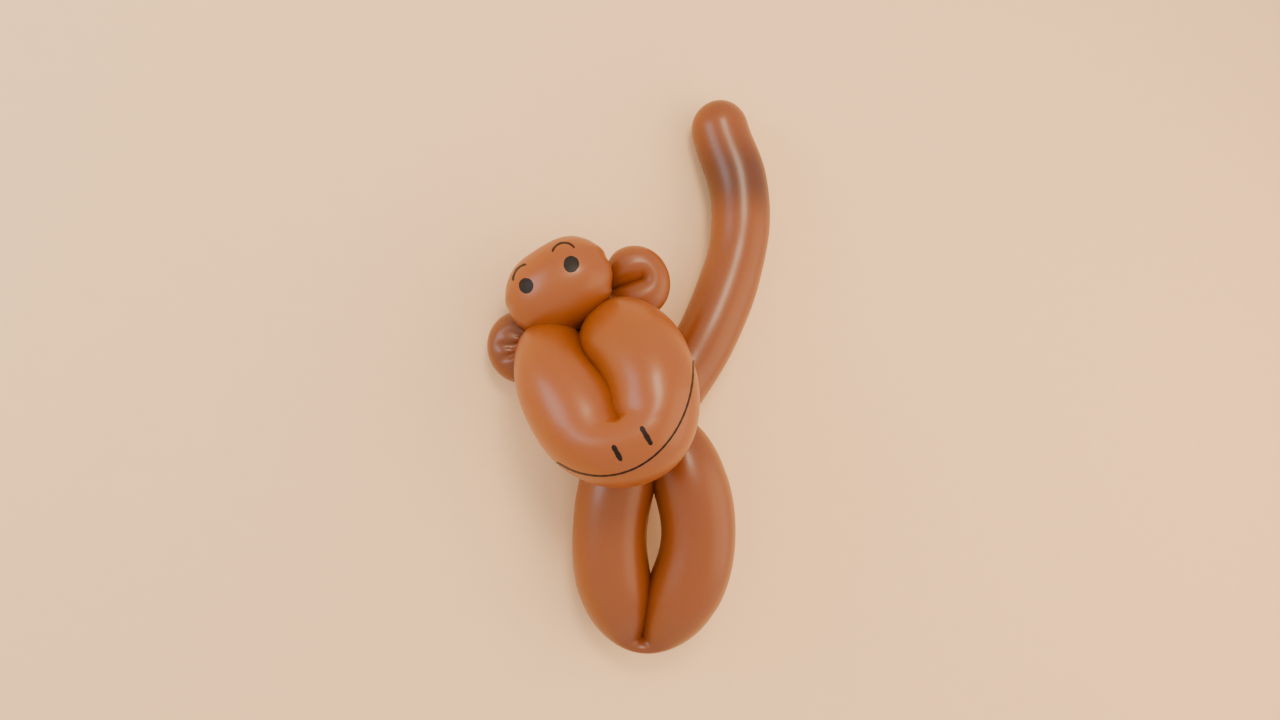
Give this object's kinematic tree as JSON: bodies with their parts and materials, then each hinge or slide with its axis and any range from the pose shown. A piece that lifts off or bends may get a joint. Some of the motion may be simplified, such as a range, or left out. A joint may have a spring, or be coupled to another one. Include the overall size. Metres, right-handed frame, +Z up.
{
  "type": "balloon monkey",
  "caption": "Monkey twisted from one long modelling balloon: folded muzzle and leg loops, pinched ears and a curved tail; lies on its back.",
  "frame": {"origin": "on the table, under the middle of the bounding box of the figure as it lies", "axes": "+Z up from the table; +Y from the feet to the tip of the tail; +X to the right of someone who faces the figure"},
  "size_m": [0.2232, 0.4214, 0.1416],
  "materials": {
    "brown_latex": "satin-gloss blown latex, warm brown, a little lighter where it is stretched",
    "marker_ink": "black permanent marker, drawn on the skin: eyes, brows, nostrils and mouth"
  },
  "bodies": {
    "root": {"twisted_balloon": "brown_latex"}
  },
  "joints": []
}
